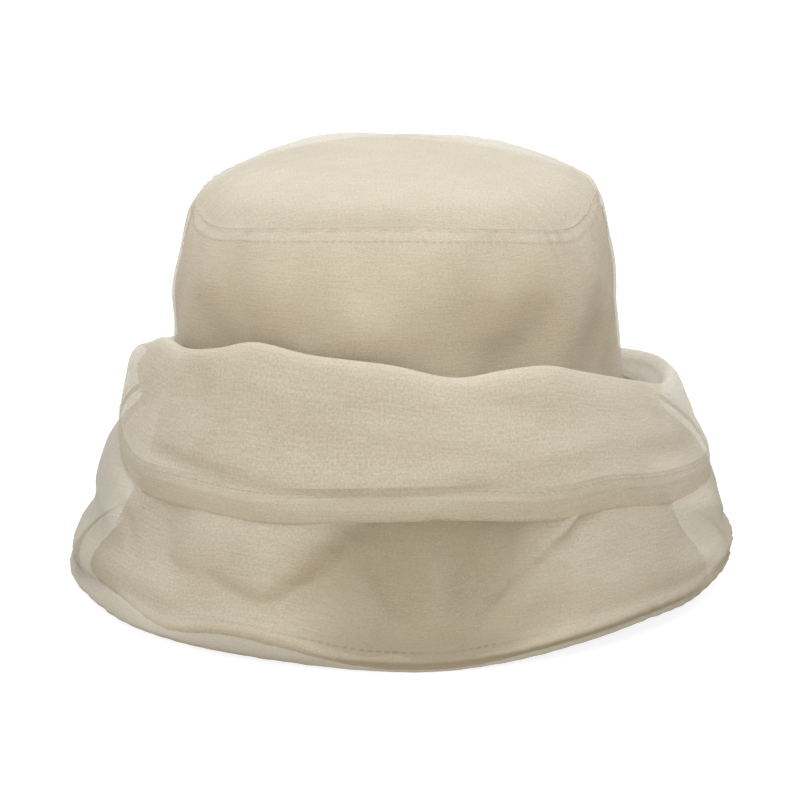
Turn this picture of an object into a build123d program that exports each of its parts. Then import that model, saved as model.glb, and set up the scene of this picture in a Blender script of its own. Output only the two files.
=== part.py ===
from build123d import *
import math
import os

# A soft bucket hat with a gauze veil drawn over it. Millimetres, +Z up, the wearer faces -Y.
# Profiles are drawn as (half-width, height) and turned round Z. The result is then stretched along Y by OVAL.
OVAL = 1.10

# The hat's outer surface: brim edge, crown base and tip seam.
EDGE_R = 121.5
BASE_R = 89.0
BASE_Z = 57.0
TIP_R = 77.0
TIP_Z = 152.0
TIP_RISE = 12.5

# Cloth thicknesses, and the clearance between the layers of one piece of sewing.
CLOTH = 0.8
LINING = 0.6
STIFFENER = 1.4
TAPE = 1.5
LAYER_GAP = 0.1
GAUZE = 0.6
THREAD_R = 0.3
THREAD_SIDES = 8

# Edge roll, sweatband and the rows of stitches.
ROLL_WIDTH = 3.4
ROLL_HEIGHT = 3.4
SWEATBAND_HEIGHT = 28.0
TIP_STITCH_DROP = 3.0
BASE_STITCH_RISE = 4.0
EDGE_STITCH_RISE = 8.0
SEAM_STITCH_OFFSET = 3.0

# The veil: its clearance over the hat, bottom fold, outer wall, top fold and hem.
VEIL_GAP = 1.0
BASE_RADIUS = 18.0
WALL_RADIUS = 60.0
VEIL_BASE = (91.4, 60.0)
FOLD_INNER = (126.0, 1.5)
FOLD_OUTER = (131.5, 1.5)
FOLD_RADIUS = 2.0
VEIL_WALL = (119.5, 46.0)
CUFF_INNER = (103.0, 97.0)
CUFF_OUTER = (110.0, 97.0)
CUFF_RADIUS = 3.0
HEM_R = 122.5
HEM_TOP_Z = 62.0
HEM_HEIGHT = 12.0
HEM_THICKNESS = 2.6
ELASTIC_HEIGHT = 7.0
ELASTIC_THICKNESS = 1.0
ELASTIC_CLEARANCE = 0.15
SEAM_ANGLE = 2.4
VEIL_SEAM_WIDTH = 1.2

DOME_RADIUS = (TIP_R**2 + TIP_RISE**2) / (2 * TIP_RISE)


def dome_z(r, drop=0.0):
    """Height of the tip's outer surface at half-width r, lowered by drop."""
    return TIP_Z + TIP_RISE - DOME_RADIUS + math.sqrt(DOME_RADIUS**2 - r**2) - drop


def turned(profile, arc=360.0, start=0.0):
    """Turn a (half-width, height) face round Z and stretch it into the oval."""
    solid = revolve(Plane.XZ * profile, axis=Axis.Z, revolution_arc=arc)
    return scale(Rot(0, 0, start) * solid, by=(1, OVAL, 1))


def back_half(profile):
    return turned(profile, 180.0)


def front_half(profile):
    return turned(profile, 180.0, 180.0)


def strip(low, high, depth, thickness, trim_low=0.0, trim_high=0.0):
    """Section of one cloth layer along the straight line low-high, at a depth under the outer surface."""
    along = (Vector(*high) - Vector(*low)).normalized()
    inward = Vector(-along.Y, along.X)
    start = Vector(*low) + along * trim_low
    end = Vector(*high) - along * trim_high
    outer = inward * depth
    inner = inward * (depth + thickness)
    return make_face(Polyline(start + outer, end + outer, end + inner, start + inner, close=True))


def band_strip(depth, thickness, trim_low=0.0, trim_high=0.0):
    return strip((BASE_R, BASE_Z), (TIP_R, TIP_Z), depth, thickness, trim_low, trim_high)


def brim_strip(depth, thickness, trim_high=0.0):
    """One layer of the brim, ending just above the edge roll."""
    low = (EDGE_R, ROLL_HEIGHT + LAYER_GAP)
    run_over_rise = (EDGE_R - BASE_R) / (BASE_Z - low[1])
    trim_low = (depth + thickness) * run_over_rise
    return strip(low, (BASE_R, BASE_Z), depth, thickness, trim_low, trim_high)


def cap(radius, drop, thickness):
    """Section of a domed panel out to a half-width, lowered by drop from the tip's outer surface."""
    half = radius / 2
    top = ThreePointArc((0, dome_z(0, drop)), (half, dome_z(half, drop)), (radius, dome_z(radius, drop)))
    under = drop + thickness
    bottom = ThreePointArc((0, dome_z(0, under)), (half, dome_z(half, under)), (radius, dome_z(radius, under)))
    centre = Line(top @ 0, bottom @ 0)
    rim = Line(top @ 1, bottom @ 1)
    return make_face(top + rim + bottom + centre)


def thread(r, z):
    """Section of a row of stitches laid round the hat."""
    return Pos(r, z) * RegularPolygon(THREAD_R, THREAD_SIDES)


def on_line(low, high, z, out):
    """Point at height z, a distance out from the straight line low-high."""
    along = (Vector(*high) - Vector(*low)).normalized()
    t = (z - low[1]) / (high[1] - low[1])
    on_it = Vector(*low) + (Vector(*high) - Vector(*low)) * t
    return on_it + Vector(along.Y, -along.X) * out


def crown_tip():
    return turned(cap(TIP_R - CLOTH - LAYER_GAP, 0, CLOTH))


def lining_tip():
    return turned(cap(TIP_R - CLOTH - LINING - 3 * LAYER_GAP, CLOTH + LAYER_GAP, LINING))


def lining_band():
    return turned(band_strip(CLOTH + LAYER_GAP, LINING, trim_low=0.5, trim_high=2.5))


def sweatband():
    depth = CLOTH + LINING + 2 * LAYER_GAP
    band_length = math.dist((BASE_R, BASE_Z), (TIP_R, TIP_Z))
    return turned(band_strip(depth, TAPE, trim_low=0.5, trim_high=band_length - SWEATBAND_HEIGHT))


def brim_interlining():
    return turned(brim_strip(CLOTH + LAYER_GAP, STIFFENER, trim_high=1.5))


def brim_facing():
    return brim_strip(CLOTH + STIFFENER + 2 * LAYER_GAP, CLOTH, trim_high=1.5)


def brim_edge_roll():
    """The turned edge: an upright oval ring with a flat foot and a rounded shoulder."""
    outer = Ellipse(EDGE_R, EDGE_R * OVAL)
    inner = Ellipse(EDGE_R - ROLL_WIDTH, (EDGE_R - ROLL_WIDTH) * OVAL)
    ring = extrude(outer - inner, amount=ROLL_HEIGHT)
    shoulder = ring.edges().group_by(Axis.Z)[-1]
    return fillet(shoulder, 0.8)


def tip_topstitch():
    point = on_line((BASE_R, BASE_Z), (TIP_R, TIP_Z), TIP_Z - TIP_STITCH_DROP, THREAD_R)
    return turned(thread(point.X, point.Y))


def crown_base_topstitch():
    point = on_line((BASE_R, BASE_Z), (TIP_R, TIP_Z), BASE_Z + BASE_STITCH_RISE, THREAD_R)
    return turned(thread(point.X, point.Y))


def brim_edge_topstitch():
    low = (EDGE_R, ROLL_HEIGHT + LAYER_GAP)
    point = on_line(low, (BASE_R, BASE_Z), EDGE_STITCH_RISE, THREAD_R)
    return turned(thread(point.X, point.Y))


def side_seam_topstitch():
    """Four upright rows on the band, one each side of the two side seams."""
    high = on_line((BASE_R, BASE_Z), (TIP_R, TIP_Z), TIP_Z - 3 * TIP_STITCH_DROP, THREAD_R)
    low = on_line((BASE_R, BASE_Z), (TIP_R, TIP_Z), BASE_Z + 2 * BASE_STITCH_RISE, THREAD_R)
    rows = []
    for side in (-1, 1):
        for offset in (-SEAM_STITCH_OFFSET, SEAM_STITCH_OFFSET):
            start = Vector(side * low.X, offset, low.Y)
            end = Vector(side * high.X, offset, high.Y)
            axis = end - start
            section = RegularPolygon(THREAD_R, THREAD_SIDES)
            rows.append(Plane(start, z_dir=axis) * extrude(section, amount=axis.length))
    return Compound(children=rows)


def veil_path():
    """Line of the gauze tube: down the crown, over the brim, back up and over the cuff's top to the hem."""
    start = on_line((BASE_R, BASE_Z), (TIP_R, TIP_Z), TIP_Z, VEIL_GAP)
    hem = (HEM_R - HEM_THICKNESS / 2, HEM_TOP_Z + LAYER_GAP)
    fold = (FOLD_INNER, FOLD_OUTER)
    points = [(start.X, start.Y), VEIL_BASE, *fold, VEIL_WALL, CUFF_INNER, CUFF_OUTER, hem]
    radii = [BASE_RADIUS, FOLD_RADIUS, FOLD_RADIUS, WALL_RADIUS, CUFF_RADIUS, CUFF_RADIUS]
    return FilletPolyline(*points, radius=radii)


def beside_path(near, far):
    """Section between two distances from the tube's line, on its outer side."""
    wide = make_face(offset(veil_path(), amount=far, side=Side.LEFT, closed=True))
    if near == 0:
        return wide
    return wide - make_face(offset(veil_path(), amount=near, side=Side.LEFT, closed=True))


def veil_top_panel():
    return turned(cap(TIP_R + VEIL_GAP, -VEIL_GAP - GAUZE, GAUZE))


def veil_side_panel():
    return turned(beside_path(0, GAUZE))


def veil_top_seam():
    low = on_line((BASE_R, BASE_Z), (TIP_R, TIP_Z), TIP_Z, VEIL_GAP)
    centre_z = low.Y + 3 * LAYER_GAP + VEIL_SEAM_WIDTH / 2
    centre_r = low.X + LAYER_GAP + VEIL_SEAM_WIDTH / 2
    return turned(Pos(centre_r, centre_z) * RectangleRounded(VEIL_SEAM_WIDTH, VEIL_SEAM_WIDTH, 0.3))


def veil_back_seam():
    rib = beside_path(GAUZE + LAYER_GAP, 2 * GAUZE + LAYER_GAP)
    return turned(rib, SEAM_ANGLE, 90 - SEAM_ANGLE / 2)


def hem_section():
    return Pos(HEM_R, HEM_TOP_Z - HEM_HEIGHT / 2)


def veil_hem_casing():
    slot_width = ELASTIC_THICKNESS + 2 * ELASTIC_CLEARANCE
    slot_height = ELASTIC_HEIGHT + 2 * ELASTIC_CLEARANCE
    shell = RectangleRounded(HEM_THICKNESS, HEM_HEIGHT, 0.6) - Rectangle(slot_width, slot_height)
    return turned(hem_section() * shell)


def veil_hem_elastic():
    return turned(hem_section() * Rectangle(ELASTIC_THICKNESS, ELASTIC_HEIGHT))


def veil_hem_stitching():
    r = HEM_R + HEM_THICKNESS / 2 + THREAD_R
    return turned(thread(r, HEM_TOP_Z - 1.5))


NODES = {
    "crown_tip": crown_tip,
    "crown_band_front": lambda: front_half(band_strip(0, CLOTH)),
    "crown_band_back": lambda: back_half(band_strip(0, CLOTH)),
    "brim_top_front": lambda: front_half(brim_strip(0, CLOTH)),
    "brim_top_back": lambda: back_half(brim_strip(0, CLOTH)),
    "brim_interlining": brim_interlining,
    "brim_facing_front": lambda: front_half(brim_facing()),
    "brim_facing_back": lambda: back_half(brim_facing()),
    "brim_edge_roll": brim_edge_roll,
    "lining_tip": lining_tip,
    "lining_band": lining_band,
    "sweatband": sweatband,
    "tip_topstitch": tip_topstitch,
    "crown_base_topstitch": crown_base_topstitch,
    "brim_edge_topstitch": brim_edge_topstitch,
    "side_seam_topstitch": side_seam_topstitch,
    "veil_top_panel": veil_top_panel,
    "veil_side_panel": veil_side_panel,
    "veil_top_seam": veil_top_seam,
    "veil_back_seam": veil_back_seam,
    "veil_hem_casing": veil_hem_casing,
    "veil_hem_elastic": veil_hem_elastic,
    "veil_hem_stitching": veil_hem_stitching,
}

os.makedirs("parts", exist_ok=True)
for name, make in NODES.items():
    export_step(make(), f"parts/{name}.step")
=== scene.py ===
import math
import bpy
import numpy as np
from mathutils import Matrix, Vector


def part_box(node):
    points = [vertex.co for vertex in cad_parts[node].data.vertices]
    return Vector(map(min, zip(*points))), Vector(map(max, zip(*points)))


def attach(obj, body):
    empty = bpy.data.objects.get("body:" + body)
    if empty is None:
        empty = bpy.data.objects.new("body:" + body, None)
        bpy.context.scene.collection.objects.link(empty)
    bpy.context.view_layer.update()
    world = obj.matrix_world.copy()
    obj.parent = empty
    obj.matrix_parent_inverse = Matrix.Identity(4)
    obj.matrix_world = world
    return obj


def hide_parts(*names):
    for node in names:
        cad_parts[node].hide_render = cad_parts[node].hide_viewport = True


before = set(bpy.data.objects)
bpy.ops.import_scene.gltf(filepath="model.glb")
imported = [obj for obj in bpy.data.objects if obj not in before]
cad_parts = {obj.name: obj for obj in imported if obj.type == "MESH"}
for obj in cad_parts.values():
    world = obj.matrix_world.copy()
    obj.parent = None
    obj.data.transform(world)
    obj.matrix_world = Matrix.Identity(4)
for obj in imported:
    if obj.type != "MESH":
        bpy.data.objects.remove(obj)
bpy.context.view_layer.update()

MM = 0.001
UP = np.array([0.0, 0.0, 1.0])
LEVEL = np.array([1.0, 1.0, 0.0])

# ---------------------------------------------------------------- sizes, in millimetres, from the frame


def side(node, corner, axis):
    """One coordinate of a CAD node's box, in millimetres. corner is 0 for lowest and 1 for highest."""
    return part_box(node)[corner][axis] / MM


OVAL = side("brim_edge_roll", 1, 1) / side("brim_edge_roll", 1, 0)
EDGE_R = side("brim_edge_roll", 1, 0)
BASE_R = side("crown_band_front", 1, 0)
BASE_Z = side("crown_band_front", 0, 2)
TIP_R = side("tip_topstitch", 1, 0) - 0.8       # its stitches stand out past the tip seam
SEAM_Z = side("crown_band_front", 1, 2) + 1.5
TIP_TOP_Z = side("crown_tip", 1, 2) - 2.0       # the gauze needs room over it
ROLL_R = 1.7
# thicknesses of the cloths, and the space between two of them
TWILL = 0.8
LINING = 0.5
STIFFENER = 1.2
TAPE = 1.4
LAYER_GAP = 0.15
HEM_HEIGHT = side("veil_hem_casing", 1, 2) - side("veil_hem_casing", 0, 2)

# ---------------------------------------------------------------- curves round the hat
# Angles go round the hat in degrees: 0 is the front, 90 the right of the front view, 180 the back.


def between(i, w, gap, values, slopes):
    """A share w of the way from point i to the next, gap apart, on the smooth curve with these slopes."""
    low = values[i] * (1 + 2 * w) * (1 - w) ** 2 + slopes[i] * gap * w * (1 - w) ** 2
    high = values[i + 1] * w * w * (3 - 2 * w) + slopes[i + 1] * gap * w * w * (w - 1)
    return low + high


def curve_at(t, x, y):
    i = np.clip(np.searchsorted(x, t, side="right") - 1, 0, len(x) - 2)
    gap = x[i + 1] - x[i]
    return between(i, (t - x[i]) / gap, gap, y, np.gradient(y, x))


def around(phi, points):
    """Smooth curve round the hat through (degrees, value) points."""
    x, y = np.array(points, float).T
    x = np.concatenate([x[-2:] - 360, x, x[:2] + 360])
    y = np.concatenate([y[-2:], y, y[:2]])
    return curve_at(angle_from(phi, 0), x, y)


def through(t, points):
    """Smooth curve through (place, value) points, level outside them."""
    x, y = np.array(points, float).T
    return curve_at(np.clip(t, x[0], x[-1]), x, y)


def rise(x, at, over):
    """Smooth step from 0 to 1 as x passes a value."""
    return 1 / (1 + np.exp((at - x) / over))


def fall(x, at, over):
    """Smooth step from 1 to 0 as x passes a value."""
    return 1 / (1 + np.exp((x - at) / over))


def oval(phi, a, b, n=2.0):
    """Distance from the middle to an oval of half-width a and half-depth b; n over 2 squares it off."""
    return ((np.abs(np.sin(phi)) / a) ** n + (np.abs(np.cos(phi)) / b) ** n) ** (-1 / n)


def angle_from(phi, degrees):
    """Signed angle in degrees from a place round the hat."""
    return (np.degrees(phi) - degrees + 180) % 360 - 180


def bump(phi, v, at, width, v_at, v_width):
    """Smooth hump, 1 at an angle and a place along the cloth."""
    return np.exp(-((angle_from(phi, at) / width) ** 2) - ((v - v_at) / v_width) ** 2)


def dents(phi, v, table):
    """Hollows and ridges, positive outwards; each row is a height, an angle, a width, a place and a length."""
    return sum(height * bump(phi, v, *where) for height, *where in table)


def ripple(phi, v, seed, round_low, round_high, along, count=14):
    """Smooth irregular waves, about -1 to 1, that close round the hat."""
    rng = np.random.default_rng(seed)
    total = np.zeros(np.broadcast(phi, v).shape)
    for _ in range(count):
        k = rng.integers(round_low, round_high + 1)
        m = rng.uniform(-along, along)
        total = total + np.sin(k * phi + m * v * 2 * math.pi + rng.uniform(0, 2 * math.pi))
    return total / math.sqrt(count / 2) / 2


def fold_along(x, y, points, tall, left, right):
    """A fold along a line of (x, y) points in millimetres, dying away at both ends.

    tall is its height; left and right are its widths on either side of the line, walked in order.
    """
    lengths = [math.dist(p, q) for p, q in zip(points[:-1], points[1:])]
    total = sum(lengths)
    best = np.full(x.shape, 1e9)
    along = np.zeros(x.shape)
    side_of = np.ones(x.shape)
    done = 0.0
    for (ax, ay), (bx, by), length in zip(points[:-1], points[1:], lengths):
        t = np.clip(((x - ax) * (bx - ax) + (y - ay) * (by - ay)) / length ** 2, 0, 1)
        gap = np.hypot(x - mix(ax, bx, t), y - mix(ay, by, t))
        turn = (bx - ax) * (y - ay) - (by - ay) * (x - ax)
        nearer = gap < best
        best = np.where(nearer, gap, best)
        along = np.where(nearer, (done + t * length) / total, along)
        side_of = np.where(nearer, np.sign(turn), side_of)
        done += length
    width = np.where(side_of > 0, left, right)
    fade = np.clip(np.sin(np.pi * np.clip(along, 0.0, 1.0)), 0, 1) ** 0.7
    return tall * fade * np.exp(-(best / width) ** 1.7)


MM_PER_DEGREE = 2.05


def folds(phi, z, strokes):
    """Folds in an upright wall; each stroke is a line of (degrees, height) points, a height and two widths."""
    x = angle_from(phi, 0) * MM_PER_DEGREE
    relief = np.zeros(np.broadcast(x, z).shape)
    for line, tall, left, right in strokes:
        points = [(a * MM_PER_DEGREE, b) for a, b in line]
        relief = relief + fold_along(x, z, points, tall, left, right)
    return relief


def mix(a, b, t):
    return a + (b - a) * t


def unit(vectors):
    return vectors / np.linalg.norm(vectors, axis=-1, keepdims=True)


def place(phi, r, z, shift=0.0):
    return np.stack([r * np.sin(phi) + shift, -r * np.cos(phi), z + 0 * r], axis=-1)


def from_middle(points):
    return np.hypot(points[..., 0], points[..., 1])


# ---------------------------------------------------------------- the hat's shape

# Tables of (degrees round the hat, millimetres): how much higher the tip seam and the brim's edge are than in the CAD,
# how far the edge spreads outwards, and how far the middle of the brim bulges outwards.
SEAM_HEIGHT = [(-178, 0.5), (-152, -2.0), (-128, -5.0), (-104, -7.5), (-84, -7.0), (-58, -7.5), (-30, -2.0),
               (0, 0.0), (28, -2.0), (55, -7.0), (80, -2.0), (104, -2.0), (130, -4.0), (154, -1.5)]
EDGE_HEIGHT = [(-178, 0.8), (-130, 0.0), (-92, 0.8), (-74, 5.0), (-58, 6.4), (-44, 2.8), (-28, 7.2), (-17, 5.2),
               (-9, 2.3), (2, 0.1), (12, 0.7), (24, 3.6), (38, 5.7), (54, 6.4), (68, 4.8), (84, 2.0), (100, 0.5),
               (140, 0.2)]
EDGE_SPREAD = [(-178, 0), (20, 0), (32, 0.6), (46, 1.8), (58, 3.4), (70, 4.0), (84, 1.5), (100, 0)]
BRIM_HOLLOW = [(-178, -1.0), (-120, -1.5), (-88, -4.0), (-52, 1.0), (-30, 0.0), (-17, -2.0), (-7, -5.0),
               (4, -6.0), (15, -5.0), (25, -2.5), (36, -0.5), (56, 1.5), (90, -1.5), (135, -1.0)]

# Rows of dents: a height, an angle, a width, a place along the cloth and a length.
CROWN_DENTS = [
    (-6.0, -41, 12, 0.50, 0.17), (-6.5, 28, 16, 0.52, 0.17), (-5.0, -10, 12, 0.24, 0.15), (-5.0, 59, 8, 0.38, 0.20),
    (3.6, -7, 10, 0.62, 0.14), (1.6, 12, 8, 0.34, 0.15), (1.6, -26, 8, 0.76, 0.12), (-1.2, -17, 3, 0.82, 0.10),
    (-1.2, 7, 4, 0.84, 0.08), (-3.4, 128, 16, 0.50, 0.22), (-3.6, -150, 18, 0.55, 0.20), (-3.0, -104, 12, 0.40, 0.20),
    (1.8, 165, 12, 0.45, 0.25),
]
TIP_DENTS = [(-1.3, -5, 4, 0.91, 0.045), (-1.6, -48, 4, 0.95, 0.04), (-1.0, 5, 1.6, 0.90, 0.05),
             (-0.8, 22, 5, 0.94, 0.04)]
BRIM_DENTS = [
    (3.0, -30, 7.0, 0.36, 0.14), (2.6, -16, 4.0, 0.42, 0.14), (-3.6, 0, 3.6, 0.74, 0.26), (-3.0, 15, 3.4, 0.66, 0.28),
    (2.2, 8, 3.6, 0.70, 0.28), (-2.2, 38, 6.0, 0.40, 0.25), (1.8, 52, 8.0, 0.60, 0.25), (-2.2, -62, 6.0, 0.55, 0.25),
    (-2.0, 118, 7.0, 0.55, 0.30), (-2.0, 163, 6.0, 0.60, 0.30), (1.6, 176, 6.0, 0.60, 0.30),
    (-2.2, -128, 7.0, 0.60, 0.30),
]
POUCH_AT = -24.5            # degrees: the middle of the slack pouch in front, and of the pointed dent under it


def seam_puckers(phi, u, seed):
    """Small gathers in the cloth beside a sewn seam at u = 0, dying away from it."""
    near = np.exp(-u / 0.035) * 0.18 + np.exp(-u / 0.12) * 0.32
    return near * ripple(phi, u * 4, seed, 40, 105, 0.4, 18)


def squareness(phi):
    """The tip is squarer in front, where the cloth stands flat."""
    return 2.35 + 0.25 * np.cos(phi)


def tip_rim(phi):
    """Distance from the middle to the tip seam; the crown leans back more in front."""
    rim = TIP_R - 0.4
    return oval(phi, rim, rim * OVAL, squareness(phi)) - 5.0 * np.clip(np.cos(phi), 0, 1) ** 1.5


def band(phi, u):
    """The crown's side: u is 0 at the base and 1 at the tip seam."""
    base = oval(phi, BASE_R - 0.6, (BASE_R - 0.6) * OVAL, 2.1)
    shoulder = 7.5 * np.sin(np.pi * u ** 2.4)
    r = mix(base, tip_rim(phi), u) + shoulder * mix(0.35, 1.0, np.clip(np.cos(phi), 0, 1))
    free = np.sin(np.pi * np.clip(u, 0, 1)) ** 0.5
    r = r + (dents(phi, u, CROWN_DENTS) + 1.3 * ripple(phi, u, 3, 5, 20, 2.2)) * free
    r = r + seam_puckers(phi, 1 - u, 11) + seam_puckers(phi, u, 12)
    r = r - 0.8 * np.clip((u - 0.975) / 0.025, 0, 1) ** 2
    z = mix(BASE_Z, SEAM_Z + around(phi, SEAM_HEIGHT), u)
    return place(phi, r, z)


def tip(phi, rho):
    """The crown's top: rho is 0 in the middle and 1 at the tip seam."""
    r = (tip_rim(phi) - 0.8) * rho
    rim = SEAM_Z + around(phi, SEAM_HEIGHT)
    domed = 0.3 * rho ** 2 + 0.7 * rho ** 3.8
    flat_topped = 0.25 * rho ** 2 + 0.25 * rho ** 4 + 0.5 * rho ** 9
    in_front = np.clip(0.5 + 1.5 * np.cos(phi), 0, 1)
    z = mix(TIP_TOP_Z, rim, mix(domed, flat_topped, in_front)) + 0.3
    z = z + dents(phi, rho, TIP_DENTS)
    z = z + 0.35 * np.exp(-((rho - 0.965) / 0.02) ** 2)
    z = z + 1.1 * ripple(phi, rho, 21, 1, 5, 0.8) * rho * (1 - rho ** 4)
    z = z + seam_puckers(phi, 1 - rho, 13) * rho
    return place(phi, r, z)


def brim_relief(phi, v):
    """Hollows and ridges in the brim, with a pointed dent under the pouch, positive outwards."""
    aside = angle_from(phi, POUCH_AT)
    point = 0.74 - 0.012 * np.abs(aside)
    pointed = -4.2 * np.exp(-((aside / 9.0) ** 2) - ((v - point) / 0.10) ** 2)
    return pointed + dents(phi, v, BRIM_DENTS) + 0.7 * ripple(phi, v, 5, 5, 18, 0.8)


def brim(phi, v):
    """The brim: v is 0 at the crown's base and 1 at its edge."""
    a = mix(BASE_R, EDGE_R - ROLL_R, v)
    r = oval(phi, a, a * OVAL, 2.1 - 0.1 * v)
    r = r + around(phi, BRIM_HOLLOW) * np.sin(np.pi * v) + around(phi, EDGE_SPREAD) * v * v
    free = np.clip(np.sin(np.pi * v * 0.93), 0, 1)
    r = r + 1.3 * brim_relief(phi, v) * free + seam_puckers(phi, v, 14)
    r = r + 0.5 * seam_puckers(phi, 1 - v, 15)
    z = mix(BASE_Z, ROLL_R + 0.2 + around(phi, EDGE_HEIGHT), v)
    return place(phi, r, z)


# ---------------------------------------------------------------- the veil's shape

# Tables of (degrees round the hat, millimetres), but for GROOVE, a share, and the two WALL tables, which go by height.
# CUFF_TOP and HEM_LOW are heights of the cuff's crest and the hem's lower edge. FOLD_OUT and FOLD_Z say how far the
# fold under the brim's edge stands out past it, and its height. GROOVE is 1 where the wall above the fold is drawn
# in over the brim. UPRIGHT is how far out the wall stands above the brim. WALL_SHIFT moves the wall to the right.
CUFF_TOP = [(-178, 71), (-140, 76), (-112, 82), (-86, 92), (-71, 99.5), (-61, 105.8), (-52, 105.5), (-40, 109.5),
            (-32, 114), (-18, 112.5), (-2, 110), (11, 105), (20, 106.5), (30, 106), (39, 101), (55, 92), (72, 83.5),
            (90, 81), (108, 77.5), (140, 69)]
HEM_LOW = [(-178, 50), (-140, 52), (-110, 55), (-88, 54), (-60, 48), (-45, 49.5), (-26, 50.5), (-10, 53.5),
           (7, 54.5), (29, 51), (39, 51), (52, 46.5), (69, 42), (90, 39.5), (125, 46)]
FOLD_OUT = [(-178, 5.0), (-130, 6.5), (-92, 6.8), (-78, 7.6), (-66, 7.0), (-54, 5.8), (-39, 4.2), (-19, 1.6),
            (-6, 0.1), (2, 0.0), (21, 0.0), (33, 0.0), (46, 0.1), (58, 0.3), (70, 1.8), (84, 6.0), (100, 8.6),
            (135, 6.5)]
FOLD_Z = [(-178, 3.0), (-130, 3.5), (-92, 4.2), (-78, 3.4), (-66, 3.0), (-54, 1.4), (-39, 1.2), (-19, 1.6),
          (-6, 0.9), (2, 0.2), (12, 0.9), (21, 2.4), (33, 5.0), (46, 6.6), (58, 6.2), (70, 6.6), (84, 6.8),
          (100, 6.0), (135, 4.0)]
GROOVE = [(-178, 0), (-74, 0), (-60, 0.3), (-46, 0.8), (-30, 0.8), (-14, 0.9), (4, 1), (52, 1), (62, 0.5), (72, 0),
          (100, 0)]
UPRIGHT = [(-178, 102), (-60, 100), (-28, 100), (-16, 105), (-7, 110.5), (5, 112), (17, 110.5), (27, 105), (38, 101),
           (100, 102)]
WALL = [(0, 129.0), (10, 129.2), (16, 127.8), (22, 124.3), (30, 121.6), (40, 120.4), (50, 118.0), (58, 113.8),
        (70, 109.8), (82, 106.6), (100, 103.0), (115, 101.0)]
WALL_SHIFT = [(0, 0.0), (10, 1.5), (22, 3.6), (60, 4.2), (80, 2.8), (115, 2.5)]


def wall(phi, z):
    """Outer wall of the veil at a height, before its folds."""
    a = through(z, WALL)
    return oval(phi, a, a * OVAL, 2.05)


# Folds, from where the photograph shows them: a line of (degrees, height) points, a height and two widths.
CUFF_STROKES = [
    ([(-40, 94), (-10, 87), (5, 84.5), (18, 80.5), (30, 75.5), (42, 75), (56, 71), (72, 65), (88, 59)], 1.5, 10, 6),
    ([(2, 73), (14, 74), (26, 75), (38, 76)], 0.7, 2.6, 4),
    ([(-64, 67), (-48, 65.5), (-33, 64), (-22, 62.5), (-3, 63), (13, 65.5), (30, 65)], -1.8, 2.4, 3.6),
    ([(-58, 65), (-42, 64), (-30, 62)], -1.4, 4.0, 5.0),
    ([(-46, 104), (-43, 92), (-42, 78)], -1.4, 7, 9),
    ([(-34, 106), (-26, 98), (-10, 95)], 1.0, 5, 5),
    ([(8, 100), (14, 96), (26, 92)], -1.1, 4, 5),
    ([(48, 68), (60, 62), (76, 56)], -1.6, 6, 7),
    ([(90, 64), (130, 58), (175, 60)], 1.8, 6, 3),
    ([(105, 72), (135, 66), (160, 68)], -1.2, 4, 4),
    ([(-178, 62), (-140, 66), (-105, 72)], 1.8, 6, 3),
]
WALL_STROKES = [
    ([(15, 22), (20, 33), (25.5, 44), (33, 54), (42, 62)], 3.2, 2.4, 1.6),
    ([(27, 38), (32, 47), (38, 50)], -3.0, 3.0, 7.0),
    ([(-9, 38), (-5, 24), (0, 9)], -3.6, 3.0, 4.0),
    ([(22, 40), (18, 26), (13, 12)], -3.8, 4.5, 3.0),
    ([(5, 38), (6, 24), (7, 10)], 2.6, 3.5, 3.5),
    ([(-38, 29), (-31, 24), (-24, 19)], -2.0, 2.6, 3.2),
    ([(-24, 19), (-19, 27), (-13, 36)], -2.2, 2.6, 3.6),
    ([(-50, 44), (-48, 34), (-44, 22)], -1.2, 5.0, 4.0),
    ([(-52, 30), (-46, 26), (-39, 28)], -1.2, 3.0, 3.0),
    ([(-66, 44), (-60, 36), (-56, 26)], -1.4, 3.0, 4.0),
    ([(52, 52), (58, 36), (60, 24)], -1.2, 5.0, 6.0),
    ([(-95, 44), (-70, 36), (-50, 30)], 1.4, 6.0, 5.0),
    ([(66, 40), (84, 28), (100, 22)], 1.4, 5.0, 4.0),
    ([(112, 44), (116, 28), (118, 12)], -3.0, 6.0, 6.0),
    ([(140, 46), (146, 28), (150, 12)], 3.0, 6.0, 4.0),
    ([(168, 44), (166, 28), (163, 12)], -3.0, 5.0, 6.0),
    ([(-150, 46), (-154, 28), (-158, 12)], 3.0, 5.0, 5.0),
    ([(-125, 46), (-122, 30), (-118, 12)], -3.0, 6.0, 5.0),
]


def front_pouch(phi, z):
    """1 where the lower wall hangs slack in front, left of the middle, in a pouch with a pointed lower edge."""
    aside = angle_from(phi, POUCH_AT)
    edge = 19 + np.where(aside < 0, -0.33 * aside, 2.0 * aside)
    return rise(aside, -21, 2.6) * rise(z, edge, 2.6)


def right_pouch(phi, z):
    """1 where the lower wall hangs slack right of the slanting ridge."""
    return rise(angle_from(phi, 16), 0.36 * (z - 20), 1.6) * rise(z, 18, 4.0)


def clinging(phi, z):
    """How far the wall lies against the brim: below the cuff 1 in front and 0 at the sides, more behind the cuff."""
    front = np.exp(-(np.abs(angle_from(phi, 4)) / 58.0) ** 5)
    slack = np.clip(0.75 * front_pouch(phi, z) + 0.65 * right_pouch(phi, z), 0, 0.85)
    return mix(front * (1 - slack), 0.85, rise(z, around(phi, HEM_LOW) + 8, 2.5))


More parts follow.
